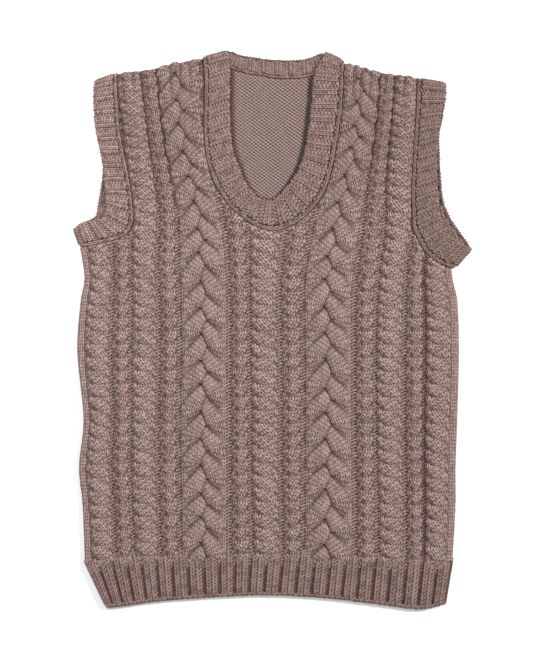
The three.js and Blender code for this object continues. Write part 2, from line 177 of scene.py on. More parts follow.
def bodyPlace(stitch, row):
    # x and y of a stitch of the body in a knitted row: rows follow the hem below and the shoulders above
    stitch, row = np.broadcast_arrays(np.asarray(stitch, float), np.asarray(row, float))
    droop, straight, pitch = gauge["droopRows"], gauge["straightY"], gauge["row"]
    y = straight + pitch * (row - droop)
    knots = np.array([smooth(stitchLines["y"], stitchLines[name], y) for name in lineNames.split()])
    x = smooth(lineStitches, knots, stitch)
    hemY = smooth(hemLines["topX"], hemLines["topY"], x)
    low = hemY + (straight - hemY) * row / droop
    leanFrom = gauge["bodyRows"] - gauge["shoulderRows"]
    startY = straight + pitch * (leanFrom - droop)
    topY = smooth(shoulderLine["x"], shoulderLine["y"], x)
    high = startY + (topY - startY) * (row - leanFrom) / gauge["shoulderRows"]
    return x, np.where(row < droop, low, np.where(row > leanFrom, high, y))


# The CAD's hem corner gives the step from this layout to the frame
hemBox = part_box("back_hem_rib")
layoutShift = np.array([
    hemBox[0].x * 1000 - hemLines["topX"].min(),
    hemBox[1].y * 1000 - (hemLines["topY"].max() - levels["seamGap"]),
    0.0])


def toFrame(points):
    return (points + layoutShift) / 1000


def seamCurve(rows, xName, yName, steps=240):
    # Catmull-Rom through the rows, evenly counted between them
    knots = np.arange(len(rows[xName]))
    at = np.linspace(0, knots[-1], steps)
    return np.stack([smooth(knots, rows[xName], at), smooth(knots, rows[yName], at)], -1)


class Ring:
    # A band: its front half on top, a half turn at one fold, the back half below and a half turn back.
    def __init__(self, table):
        halves = [table["front"], {k: v[::-1] for k, v in table["back"].items()}]
        seam, edge, facing = [], [], []
        for side, rows in zip((1, -1), halves):
            s, e = seamCurve(rows, "seamX", "seamY"), seamCurve(rows, "edgeX", "edgeY")
            seam.append(s)
            edge.append(e)
            facing.append(np.tile((0.0, 0.0, side), (len(s), 1)))
            out = self.outward(s[-1], e[-1], (s[-20] + e[-20]) / 2)
            turn = np.linspace(0, np.pi, 14)[1:-1, None]
            seam.append(np.repeat(s[-1:], len(turn), 0))
            edge.append(np.repeat(e[-1:], len(turn), 0))
            facing.append(np.cos(turn) * (0, 0, side) + np.sin(turn) * (*out, 0))
        front = halves[0]
        s, e = seamCurve(front, "seamX", "seamY"), seamCurve(front, "edgeX", "edgeY")
        self.startOut = self.outward(s[0], e[0], (s[20] + e[20]) / 2)
        self.endOut = self.outward(s[-1], e[-1], (s[-20] + e[-20]) / 2)
        self.frontSeam = s
        self.backSeam = seamCurve(table["back"], "seamX", "seamY")
        close = [np.concatenate(a + [a[0][:1]]) for a in (seam, edge, facing)]
        self.seam, self.edge, self.facing = close
        radius = levels["bandFold"] + levels["bandWall"]
        middle = (self.seam + self.edge) / 2
        middle = np.concatenate([middle, np.zeros((len(middle), 1))], 1) + self.facing * radius
        step = np.linalg.norm(np.diff(middle, axis=0), axis=1)
        self.length = np.concatenate([[0], np.cumsum(step)])
        self.ribs = round(self.length[-1] / bandSettings["ribPitch"])
        self.stitches = 4 * self.ribs
        self.width = np.linalg.norm(self.seam - self.edge, axis=1)

    @staticmethod
    def outward(seam, edge, inside):
        across = (edge - seam) / np.linalg.norm(edge - seam)
        out = np.array([-across[1], across[0]])
        return out if out @ ((seam + edge) / 2 - inside) > 0 else -out

    def at(self, stitch, share, depth):
        # point at a stitch round the ring, a share of the width and a distance out of the middle layer
        along = np.mod(stitch, self.stitches) / self.stitches * self.length[-1]
        pick = lambda a: np.stack([np.interp(along, self.length, a[:, i]) for i in range(a.shape[1])], -1)
        seam, edge, facing = pick(self.seam), pick(self.edge), pick(self.facing)
        facing /= np.linalg.norm(facing, axis=-1, keepdims=True)
        base = seam + (edge - seam) * np.asarray(share)[..., None]
        middle = levels["bandWall"] + levels["bandFold"]
        base = np.concatenate([base, np.full(base.shape[:-1] + (1,), middle)], -1)
        reach = levels["bandFold"] + levels["bandWall"] / 2 + depth
        return base + facing * np.asarray(reach)[..., None]

    def level(self, stitch):
        # 1 on the front half, -1 on the back half
        along = np.mod(stitch, self.stitches) / self.stitches * self.length[-1]
        return np.interp(along, self.length, self.facing[:, 2])


bandSettings = {
    "ribPitch": 15.6,
    "knitShares": {"neckband": 0.58, "armband_left": 0.64, "armband_right": 0.64},    # of a rib's pitch
    "innerShare": 0.55,
    "purlShades": {"neckband": 0.95, "armband_left": 0.92, "armband_right": 0.92},
    "rows": 7,
    "rise": 1.4,          # how far ribs stand out on the front half
    "crown": 0.7,         # arch of a pair of knit wales
    "leg": 0.85,
    "purlDrop": 0.5,      # purl wales lie this much lower
}
rings = {name: Ring(table) for name, table in bandTables.items()}


def cutLines(half):
    # each band's seam on a panel, run on past both folds
    lines = []
    for ring in rings.values():
        seam = (ring.frontSeam if half == "front" else ring.backSeam)[::4]
        first, last = seam[0] + ring.startOut * 70, seam[-1] + ring.endOut * 70
        lines.append(np.concatenate([[first], seam, [last]]))
    return lines


def distanceTo(line, points):
    # signed distance to a line, positive on the cloth's side, and the nearest place on it
    a, b = line[:-1], line[1:]
    ab = b - a
    out = np.empty(len(points))
    near = np.empty((len(points), 2))
    for start in range(0, len(points), 8000):
        p = points[start:start + 8000, None]
        share = np.clip(((p - a) * ab).sum(-1) / (ab * ab).sum(-1), 0, 1)
        foot = a + share[..., None] * ab
        far = np.linalg.norm(p - foot, axis=-1)
        best = far.argmin(1)
        row = np.arange(len(p))
        foot = foot[row, best]
        cross = ab[best, 0] * (p[:, 0, 1] - foot[:, 1]) - ab[best, 1] * (p[:, 0, 0] - foot[:, 0])
        out[start:start + 8000] = far[row, best] * np.sign(cross)
        near[start:start + 8000] = foot
    return out, near


seamLines = {half: cutLines(half) for half in ("front", "back")}
clothSide = {
    half: [np.sign(distanceTo(line, np.zeros((1, 2)))[0][0]) for line in lines]
    for half, lines in seamLines.items()}


def seamDistance(x, y, half):
    # distance into the cloth from the nearest band seam, and the nearest place on that seam
    flat = np.stack([x.ravel(), y.ravel()], -1)
    best = np.full(len(flat), 999.0)
    near = flat.copy()
    close = flat[:, 1] > 40
    for line, side in zip(seamLines[half], clothSide[half]):
        far, foot = distanceTo(line, flat[close])
        far *= side
        better = far < best[close]
        spots = np.flatnonzero(close)[better]
        best[spots] = far[better]
        near[spots] = foot[better]
    return best.reshape(x.shape), near[:, 0].reshape(x.shape), near[:, 1].reshape(x.shape)


def trim(points, half, floor, sink):
    # points past a band's seam are laid on it, and the cloth sinks to its floor towards the seam
    x, y, z = np.moveaxis(points, -1, 0)
    far, nearX, nearY = seamDistance(x, y, half)
    outside = far < 0
    x, y = np.where(outside, nearX, x), np.where(outside, nearY, y)
    z = floor + (z - floor) * fade(far, -0.8, sink)
    return np.stack([x, y, z], -1), ~outside


class Fabric:
    # grids of points gathered into one mesh, with a map of wales and rows and each point's stitch height,
    # times any painted shade; the yarn turns low heights into painted shade
    def __init__(self, name):
        self.name = name
        self.points, self.maps, self.heights, self.faces, self.caps = [], [], [], [], []
        self.count = 0

    def add(self, points, wale, row, height, keep=None, closed=False, ends=False):
        rows, cols = points.shape[:2]
        index = np.arange(rows * cols).reshape(rows, cols) + self.count
        right = np.roll(index, -1, 1) if closed else index[:, 1:]
        left = index if closed else index[:, :-1]
        quads = np.stack([left[:-1], right[:-1], right[1:], left[1:]], -1)
        if keep is not None:
            k = keep if closed else keep[:, :-1]
            kr = np.roll(keep, -1, 1) if closed else keep[:, 1:]
            quads = quads[k[:-1] | kr[:-1] | kr[1:] | k[1:]]
        self.faces.append(quads.reshape(-1, 4))
        if ends:
            self.caps += [index[0][::-1], index[-1]]
        self.points.append(points.reshape(-1, 3))
        self.maps.append(np.stack(np.broadcast_arrays(wale, row), -1).reshape(-1, 2))
        self.heights.append(np.broadcast_to(height, (rows, cols)).ravel())
        self.count += rows * cols

    def build(self, material, slot):
        points = toFrame(np.concatenate(self.points))
        points[:, 2] = np.maximum(points[:, 2], 0)
        quads = np.concatenate(self.faces)
        used = np.zeros(len(points), bool)
        used[quads.ravel()] = True
        for cap in self.caps:
            used[cap] = True
        fresh = np.cumsum(used) - 1
        loops = [fresh[quads].ravel()] + [fresh[cap] for cap in self.caps]
        starts = np.concatenate([np.arange(len(quads)) * 4,
                                 len(quads) * 4 + np.cumsum([0] + [len(c) for c in self.caps])[:-1]])
        loops = np.concatenate(loops).astype(np.int32)
        mesh = bpy.data.meshes.new(self.name)
        mesh.vertices.add(int(used.sum()))
        mesh.vertices.foreach_set("co", points[used].astype(np.float32).ravel())
        mesh.loops.add(len(loops))
        mesh.loops.foreach_set("vertex_index", loops)
        mesh.polygons.add(len(starts))
        mesh.polygons.foreach_set("loop_start", starts.astype(np.int32))
        mesh.update(calc_edges=True)
        maps = np.concatenate(self.maps)[used]
        mesh.uv_layers.new(name="knit").data.foreach_set("uv", maps[loops].astype(np.float32).ravel())
        heights = np.concatenate(self.heights)[used].astype(np.float32)
        mesh.attributes.new("stitchHeight", "FLOAT", "POINT").data.foreach_set("value", heights)
        mesh.shade_smooth()
        mesh.materials.append(material)
        piece = bpy.data.objects.new(self.name, mesh)
        bpy.context.scene.collection.objects.link(piece)
        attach(piece, "root")
        triangles = 2 * len(quads) + sum(len(c) - 2 for c in self.caps)
        report(f"{self.name}: {triangles} triangles")
        return piece


# Stitches as heights over a small grid. The rows are steps up one stitch, the columns the valley beside
# the wale, its left leg, its middle and its right leg. A leg leans up and out from the wale's middle.
stitchForms = {
    "knit": {
        "heights": np.array([[0.25, 0.5, 0.0, 0.4], [0.35, 1.0, 0.15, 0.95], [0.0, 0.85, 0.45, 0.65]]),
        "lean": np.array([[0.8, 0.4, 0.0, 0.4]]),
    },
    "rib": {
        "heights": np.array([[0.0, 0.62, 0.0, 0.12], [0.12, 1.0, 0.5, 1.0], [0.1, 0.95, 0.3, 0.72]]),
        "lean": np.array([[0.8, 0.4, 0.0, 0.4]]),
    },
    "chain": {
        "heights": np.array([[0.1, 0.1, 0.0, 0.15], [0.3, 1.0, 0.45, 1.0], [0.2, 0.75, 0.3, 0.7]]),
        "lean": np.array([[1.1, 0.6, 0.0, 0.6]]),
    },
    "purl": {
        "heights": np.array([[0.5, 0.8, 0.95, 0.8], [0.42, 0.6, 0.7, 0.55], [0.25, 0.04, 0.0, 0.02]]),
        "lean": np.array([[0.0, -0.05, -0.15, -0.1], [0.4, 0.5, 0.4, 0.35]]),
    },
    "dots": {
        "heights": np.array([[0.55, 0.85, 0.95, 0.8], [0.45, 0.3, 0.25, 0.4], [0.45, 0.0, 0.0, 0.0]]),
        "lean": np.array([[0.2, 0.0, 0.0, 0.1], [0.3, 0.5, 0.5, 0.4]]),
    },
}
chance = np.random.default_rng(7)


def stitchGrid(form, wales, first, last, vary=0.18):
    # places across and up a strip of wales, with the height of each place in its stitch
    heights, lean = stitchForms[form]["heights"], stitchForms[form]["lean"]
    across = np.arange(4 * wales + 1) / 4
    steps = len(heights)
    up = np.arange(first * steps, last * steps) / steps
    height = np.tile(heights, (last - first, wales))
    height = np.concatenate([height, height[:, :1]], 1)
    size = 1 + vary * chance.uniform(-1, 1, (last - first, wales))
    size = np.repeat(np.repeat(size, steps, 0), 4, 1)
    height[:, :-1] *= size
    height = np.clip(height + 0.1 * chance.normal(size=height.shape), 0, 1.15)
    leans = np.concatenate([lean[i % len(lean)] for i in range(wales)])
    leans = np.append(leans, leans[-1] if len(lean) > 1 else leans[0])
    return across, up[:, None] + leans, height


def roundOver(points, over, out, axis, shrink=0.72):
    # past a fold line the cloth turns about an axis at that height; out is the level direction outwards
    angle = np.clip(over, 0, np.pi)
    reach = (points[..., 2] - axis) * (1 - shrink * angle / np.pi)
    turned = points.copy()
    turned[..., 0] += out[0] * reach * np.sin(angle)
    turned[..., 1] += out[1] * reach * np.sin(angle)
    turned[..., 2] = axis + reach * np.cos(angle)
    return turned


def skirted(section, floor):
    # closes a strip's rows into tubes with two points below its edges
    right, left = section[:, -1:].copy(), section[:, :1].copy()
    right[..., 2] = left[..., 2] = floor
    return np.concatenate([section, right, left], 1)


def ringed(values, fill):
    # a strip's per-column values with two more for the points below its edges
    return np.concatenate([values, np.full(values.shape[:1] + (2,), fill)], 1)


def addTube(fabric, points, across, v, height, flipped):
    # a closed strip whose two last points lie below its edges; flipped turns its faces over
    data = (points, ringed(np.broadcast_to(across, height.shape), 0), ringed(v, 0), ringed(height, 0))
    if flipped:
        data = tuple(a[:, ::-1] for a in data)
    fabric.add(*data, closed=True, ends=True)


# Heights in mm, widths and sways in stitches. Of a strand, straight makes its sway a zigzag with round
# turns, even lays its outer part flat on the ground, eye paints shade into the hole beside its crossing,
# early moves its highest place before the crossing and taper narrows it in the middle. Edge paints shade
# along the strand's sides and sink paints shade where it passes under another strand.
cableSettings = {
    "rope": {"strands": 2, "wales": 4, "turnRows": 8, "sway": 1.25, "halfWidth": 2.3, "lift": 1.8,
             "crown": 2.2, "leg": 0.9, "edge": 1.0, "sink": 0.75, "turnIn": 0.7, "uneven": 0.14,
             "even": 0.1, "straight": 0.5, "eye": 0.0, "middles": (-48, -34, 0, 34, 48), "half": 3.2},
    "small": {"strands": 2, "wales": 3, "turnRows": 8, "sway": -0.8, "halfWidth": 1.65, "lift": 1.0,
              "crown": 1.5, "leg": 0.9, "edge": 0.9, "sink": 0.7, "turnIn": 0.6, "uneven": 0.14,
              "even": 0.1, "straight": 0.5, "eye": 1.0, "middles": (-41, -27, -7, 7, 27, 41), "half": 2.25},
    "plait": {"strands": 3, "wales": 6, "turnRows": 24, "sway": 3.3, "halfWidth": 2.95, "lift": 2.3,
              "crown": 2.5, "leg": 0.9, "edge": 1.0, "sink": 0.85, "turnIn": 1.0, "uneven": 0.1,
              "even": 0.6, "straight": 0.93, "eye": 0.0, "middles": (-17, 17), "half": 6,
              "early": 0.15, "taper": 0.45},
}
borderSettings = {"offset": 5.2, "pitch": 1.05, "crown": 0.9, "leg": 0.8, "dim": 0.92}
gutterSettings = {"drop": 1.2, "depth": 1.2, "closedDrop": 0.4, "deepDrop": 0.4, "overlap": 0.15,
                  "floorDrop": 2.4, "dim": 0.8, "closedDim": 0.3, "deepDim": 0.3}
# Towards the shoulders the cables widen and close over the gutters, and dim darkens them
closing = {"fromRow": 95, "toRow": 125, "grow": 0.15, "crown": 0.2, "dim": 0.16}
# Just below the shoulder line the seam gathers the cables into creases
gather = {"fromRow": 138, "toRow": 146, "depth": 0.7, "pace": 1.5}
firstRow, lastRow = -4, gauge["bodyRows"] + 3
seamSink = 2.5            # the front's strips sink over this width beside a band
strandFloor = levels["ground"] - 1.6
foldRow = 150.6
stitchPerRow = 4.05 / 3.77


def onBody(stitch, row, z):
    # a point of the front, turned over the shoulder line past its fold row and sunk below the first row
    held = np.clip(row, -3.6, foldRow)
    x, y = bodyPlace(stitch, held)
    z = z - (z - levels["hemTop"] + 0.8) * (1 - fade(row, -3.4, 1.0))
    crease = (0.5 + 0.5 * np.cos(gather["pace"] * stitch + 1.5 * np.sin(0.4 * stitch))) ** 3
    crease = gather["depth"] * crease * fade(row, gather["fromRow"], gather["toRow"])
    z = z - crease * np.maximum(z - levels["ground"], 0)
    over = np.maximum(row - foldRow, 0) * gauge["row"] / 3.6
    points = np.stack(np.broadcast_arrays(x, y, z), -1).astype(float)
    return roundOver(points, over, (0, 1), levels["foldAxis"])


def addStrip(fabric, section, floor, across, v, height):
    # a strip of the front, trimmed along the bands and closed below into a tube
    section, inside = trim(section, "front", floor, seamSink)
    points = skirted(section, floor)
    points[:, -2:, 2] = np.minimum(points[:, -2:, 2], section[:, [-1, 0], 2] - 0.2)
    keep = ringed(inside, False).astype(bool)
    keep[:, -2:] = inside[:, [-1, 0]]
    wale = ringed(np.broadcast_to(across, v.shape), 0)
    fabric.add(points, wale, ringed(v, 0), ringed(height, 0), keep, closed=True, ends=bool(inside.all()))


def addStrand(fabric, settings, middle, strand):
    # one strand of a cable: a flattened tube of wales that sways across the column as it rises and sinks
    across, v, height = stitchGrid("knit", settings["wales"], firstRow, lastRow)
    place = across / settings["wales"] * 2 - 1
    arc = place * 0.44 * np.pi
    u = np.sin(arc) / np.sin(arc[-1])
    arch = (np.cos(arc) - np.cos(arc[-1])) / (1 - np.cos(arc[-1]))
    turn = 2 * np.pi * (v / settings["turnRows"] + strand / settings["strands"])
    turn = turn + settings["uneven"] * (np.sin(v * 0.31 + middle) + np.sin(v * 0.13 + 2.3 * middle))
    straight = settings["straight"]
    slope = -straight * np.sin(turn) / np.sqrt(1 - (straight * np.cos(turn)) ** 2) / math.asin(straight)
    slope = slope * settings["sway"] * 2 * np.pi / settings["turnRows"]
    angle = settings["turnIn"] * np.arctan(slope * stitchPerRow)
    swing = np.arcsin(straight * np.cos(turn)) / math.asin(straight)
    taper = settings.get("taper", 0)
    closed = fade(v, closing["fromRow"], closing["toRow"])
    grow = 1 + closing["grow"] * closed
    offset = grow * settings["halfWidth"] * u * (1 - taper + taper * np.abs(swing))
    stitch = middle + grow * settings["sway"] * swing + offset * np.cos(angle)
    row = v - offset * stitchPerRow * np.sin(angle)
    lifts = 2 if settings["strands"] == 3 else 1
    rise = settings["lift"] * np.sin(lifts * turn + settings.get("early", 0))
    outer = fade(np.abs(stitch - middle), 0.4, 1.05 * settings["half"])
    crown = settings["crown"] * (1 + closing["crown"] * closed)
    crown = crown * (arch + (1 - arch) * settings["even"] * outer)
    z = levels["ground"] + rise * (1 - settings["even"] * outer) + crown + settings["leg"] * (height - 0.6)
    # painted shade: darker along the strand's sides where it meets its neighbours, where it passes under
    # another strand and in the hole beside a small cable's crossing; the small cables are also a little
    # darker overall
    shade = 1 - settings["edge"] * (1 - 0.8 * outer) * np.abs(u) ** 6
    shade = shade * (1 - settings["sink"] * (1 - 0.8 * outer) * fade(-rise / settings["lift"], 0.0, 1.0))
    hole = np.exp(-((stitch - middle + 0.75) / 0.5) ** 2) * (0.5 + 0.5 * np.cos(2 * turn - 1.6)) ** 4
    shade = shade * (1 - settings["eye"] * hole) * (1 - 0.1 * settings["eye"])
    shade = shade * (1 - closing["dim"] * closed)
    across = across + 7 * strand + middle
    addStrip(fabric, onBody(stitch, row, z), strandFloor, across, v, height * shade)


def addBorder(fabric, middle, side):
    # plain wales that run up along the outer side of a plait, under its strands
    settings = borderSettings
    across, v, height = stitchGrid("knit", 2, firstRow, lastRow)
    place = across - 1
    stitch = middle + side * settings["offset"] + place * settings["pitch"]
    z = levels["ground"] + settings["crown"] * (1 - place ** 2) + settings["leg"] * (height - 0.6)
    section = onBody(np.broadcast_to(stitch, v.shape), v, z)
    # dim: painted shade on these wales, which lie under the plait's strands
    addStrip(fabric, section, strandFloor, across, v, height * settings["dim"])


def addGutter(fabric, first, last):
    # purl stitches between two cables: low bars over hollows with painted shade, deeper and with more
    # painted shade in the column furthest right
    settings = gutterSettings
    count = round(last - first)
    across, v, height = stitchGrid("dots", count, firstRow, lastRow)
    deep = fade(first, 41, 43)
    closed = fade(v, closing["fromRow"] + 5, closing["toRow"] + 5)
    stitch = first - settings["overlap"] + across * (last - first + 2 * settings["overlap"]) / count
    z = levels["ground"] - settings["drop"] + settings["depth"] * height
    z = z - settings["closedDrop"] * closed - settings["deepDrop"] * deep
    # painted shade: gutters darker than the cables, more so where the cables close over them and in the deep
    # column furthest right
    shade = (settings["dim"] - settings["closedDim"] * closed) * (1 - settings["deepDim"] * deep)
    section = onBody(np.broadcast_to(stitch, v.shape), v, z)
    floor = levels["ground"] - settings["floorDrop"]
    addStrip(fabric, section, floor, across + first, v, height * shade)


def addSide(fabric, side):
    # the wales along a side seam, from the outer cable over the edge and under
    across, v, height = stitchGrid("knit", 4, 0, 100)
    edgeX, edgeY = bodyPlace(np.broadcast_to(54.0 * side, v.shape), v)
    innerX, _ = bodyPlace(np.broadcast_to(50.7 * side, v.shape), v)
    reach = 3.0
    flat = np.abs(edgeX - innerX) - reach
    distance = across * 3.9
    x = innerX + side * np.minimum(distance, flat)
    z = 5.3 + 0.8 * (height - 0.5) - 1.2 * (1 - fade(distance, 0, 4.5))
    points = np.stack(np.broadcast_arrays(x, edgeY, z), -1).astype(float)
    over = np.maximum(distance - flat, 0) / 2.6
    section = roundOver(points, over, (side, 0), levels["foldAxis"], 0.35)
    section, inside = trim(section, "front", 3.4, 4)
    if side < 0:
        section, inside, height = section[:, ::-1], inside[:, ::-1], height[:, ::-1]
    fabric.add(section, across + 54 * side, v, height, inside)


def clothSlab(name, half, low, high, slot, material, margin):
    # plain cloth inside the stitches: a grid of the panel's stitches at two levels, joined round its rim
    stitches = np.linspace(-54 + margin, 54 - margin, 61)
    rowPlaces = np.linspace(0, gauge["bodyRows"] - 0.6, 77)
    x, y = bodyPlace(stitches[None, :], rowPlaces[:, None])
    far, nearX, nearY = seamDistance(x, y, half)
    outside = far < 0
    x, y = np.where(outside, nearX, x), np.where(outside, nearY, y)
    inside = ~outside
    kept = inside[:-1, :-1] | inside[:-1, 1:] | inside[1:, :-1] | inside[1:, 1:]
    rows, cols = x.shape
    index = np.arange(rows * cols).reshape(rows, cols)
    quads = np.stack([index[:-1, :-1], index[:-1, 1:], index[1:, 1:], index[1:, :-1]], -1)[kept]
    lower = quads[:, ::-1] + rows * cols
    edges = np.stack([quads, np.roll(quads, -1, 1)], -1).reshape(-1, 2)
    keys = np.sort(edges, 1)
    _, first, uses = np.unique(keys, axis=0, return_index=True, return_counts=True)
    rim = edges[first[uses == 1]]
    walls = np.stack([rim[:, 1], rim[:, 0], rim[:, 0] + rows * cols, rim[:, 1] + rows * cols], -1)
    fabric = Fabric(name)
    top = np.stack([x, y, np.full_like(x, high)], -1)
    bottom = np.stack([x, y, np.full_like(x, low)], -1)
    fabric.points = [top.reshape(-1, 3), bottom.reshape(-1, 3)]
    wale, row = np.broadcast_arrays(stitches[None, :], rowPlaces[:, None])
    fabric.maps = [np.stack([wale, row], -1).reshape(-1, 2)] * 2
    # a fixed stitch height: the plain inner cloth, seen only in gaps between strips, gets part of the
    # painted shade
    fabric.heights = [np.full(rows * cols, 0.45)] * 2
    fabric.faces = [quads, lower, walls]
    return fabric.build(material, slot)


def bandMiddle(up):
    # depth of the plain inner cloth's middle, on the front half for up 1 and the back half for up 0
    return -0.2 + 0.2 * up


def bandBase(name, material):
    # the band's plain inner cloth: a closed ring
    ring = rings[name]
    stitches = np.arange(ring.stitches) + 0.0
    up = (ring.level(stitches) + 1) / 2
    middle = bandMiddle(up)
    outer, inner = middle + 0.1, middle - 0.1 - 1.1 * up
    places = [(0.03, inner), (0.9, inner), (0.94, middle), (0.9, outer), (0.5, outer), (0.03, outer)]
    section = np.stack([ring.at(stitches, np.full_like(outer, share), depth) for share, depth in places], 1)
    fabric = Fabric(name + "_cloth")
    section = np.concatenate([section, section[:1]], 0)
    wale = np.append(stitches, ring.stitches)[:, None] + np.zeros(6)
    share = np.array([p[0] for p in places]) * bandSettings["rows"]
    # a fixed stitch height: the band's inner cloth gets part of the painted shade
    fabric.add(section, wale, share, 0.35, closed=True)
    faces = fabric.faces[0] % (ring.stitches * 6)
    fabric.faces = [faces if clockwise(name) else faces[:, ::-1]]
    return fabric.build(material, "rib_knit")


def clockwise(name):
    return name != "armband_left"


def ribWave(stitch, name):
    # 1 in the middle of a knit rib, 0 in the middle of the purl between ribs
    knit = bandSettings["knitShares"][name]
    phase = np.mod(stitch / 4 - knit / 2 + 0.5, 1) - 0.5
    return 1 - fade(np.abs(phase), knit / 2 - 0.1, 0.5)


def addBandStrip(fabric, ring, name, rib, form, inner=False):
    # the wales of one rib, or of the purl beside it, across a band, arched on the side it shows
    knit = bandSettings["innerShare"] if inner else bandSettings["knitShares"][name]
    purl = form == "purl"
    first, span = (4 * rib + 4 * knit, 4 - 4 * knit) if purl else (4 * rib, 4 * knit)
    if inner:
        first = first + 1.4
    count = 2
    rows = bandSettings["rows"]
    across, v, height = stitchGrid(form, count, 0, rows, 0.3)
    place = across / count * 2 - 1
    arch = 0 * place if purl else np.sqrt(np.clip(1 - (place * 0.94) ** 2, 0, 1))
    v = np.clip(v, 0, rows)
    stitch = first + (across / count + (0.1 if purl else 0.02) * place) * span
    stitch = np.broadcast_to(stitch, v.shape)
    up = (ring.level(stitch) + 1) / 2
    top = levels["bandWall"] / 2 + bandSettings["rise"] * up
    fold = 1 - np.abs(2 * up - 1)
    drop = bandSettings["purlDrop"] * (1 - 0.6 * fold) * (0.5 + 0.5 * up) if purl else 0
    leg = bandSettings["leg"] * (0.7 if purl else 1)
    relief = bandSettings["crown"] * (arch - 1) + leg * (height - 1) - drop
    tip = fade(v / rows, 0.8, 1.0)
    depth = top + relief - 0.7 * tip
    share = 0.14 + v / rows * 0.84 + 0.01 * chance.normal(size=v.shape)
    low = bandMiddle(up)
    if inner:
        depth = -(depth - bandSettings["rise"] * up + 0.4)
    section = ring.at(stitch, share, depth)
    edges = ring.at(stitch[:, [-1, 0]], share[:, [-1, 0]], low[:, [-1, 0]])
    points = np.concatenate([section, edges], 1)
    # painted shade along each wale strip's sides, and on the purl that lies lower between the ribs
    shade = 1 - (0.4 if purl else 0.35) * np.abs(place) ** 6
    dim = bandSettings["purlShades"][name] if purl else 1
    addTube(fabric, points, across + first, v, height * shade * dim, clockwise(name) != inner)


def addBandChain(fabric, ring, name, settings, inner=False):
    # a chain of stitches along the band, as where it is picked up or cast off
    count = int(ring.stitches / settings["stitch"])
    first, last = 0, count
    if inner:
        behind = np.flatnonzero(ring.level(np.arange(count) * ring.stitches / count) < -0.95)
        first, last = behind[0], behind[-1]
    across, v, height = stitchGrid("chain", 1, first, last, 0.3)
    stitch = v * ring.stitches / count
    place = across * 2 - 1
    level = ring.level(stitch)
    up = (level + 1) / 2
    top = levels["bandWall"] / 2 + (bandSettings["rise"] + settings["lift"]) * up - 0.9 * (1 - level ** 2)
    top = top - settings["follow"] * (1 - ribWave(stitch, name))
    arch = np.sqrt(np.clip(1 - (place * 0.95) ** 2, 0, 1)) - 1
    depth = top + settings["arch"] * arch + 0.8 * (height - 1)
    if inner:
        depth = -(depth + 0.8)
    share = settings["share"] + place * settings["width"] / 2
    share = np.broadcast_to(share, v.shape) + settings["bump"] * (height - 0.5) * fade(place, 0.2, 1)
    section = ring.at(stitch, share, depth)
    edges = ring.at(stitch[:, [-1, 0]], share[:, [-1, 0]], bandMiddle(up)[:, [-1, 0]])
    points = np.concatenate([section, edges], 1)
    # painted shade along the chain's sides
    shade = 1 - settings["edgeShade"] * np.abs(place) ** 4
    addTube(fabric, points, across, v, height * shade, clockwise(name) != inner)


chainSettings = {
    "pickedUp": {"share": 0.08, "width": 0.16, "stitch": 1.25, "lift": -0.9, "follow": 0.3, "arch": 0.8,
                 "bump": 0.12, "edgeShade": 0.45},
    "castOff": {"share": 0.95, "width": 0.1, "stitch": 1.0, "lift": -1.1, "follow": 0.5, "arch": 0.9,
                "bump": 0.3, "edgeShade": 0.2},
}


def buildBand(name, material):
    ring = rings[name]
    base = bandBase(name, material)
    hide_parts(name)
    ribs = Fabric(name + "_ribs")
    for rib in range(ring.ribs):
        addBandStrip(ribs, ring, name, rib, "rib")
        addBandStrip(ribs, ring, name, rib, "purl")
        if ring.level(np.array(4.0 * rib + 2)) < -0.9:
            addBandStrip(ribs, ring, name, rib, "rib", inner=True)
            addBandStrip(ribs, ring, name, rib, "purl", inner=True)
    ribPiece = ribs.build(material, "rib_knit")
    chains = Fabric(name + "_edges")
    for settings in chainSettings.values():
        addBandChain(chains, ring, name, settings)
        addBandChain(chains, ring, name, settings, inner=True)
    edgePiece = chains.build(material, "rib_knit")
    area = (ring.width[:-1] * np.diff(ring.length)).sum() / 1e6


def hemPlace(share, down):
    # x and y at a share of the hem's width and a share of the way down it
    names = ("topX", "topY", "bottomX", "bottomY")
    topX, topY, lowX, lowY = (smooth(hemLines["share"], hemLines[name], share) for name in names)
    topY = topY - levels["seamGap"]
    return topX + (lowX - topX) * down, topY + (lowY - topY) * down


hemSettings = {"ribs": 24, "rows": 13, "crown": 1.0, "leg": 0.85, "purlDrop": 1.3, "knitShare": 0.82,
               "purlDim": 0.62, "wall": 3.0}


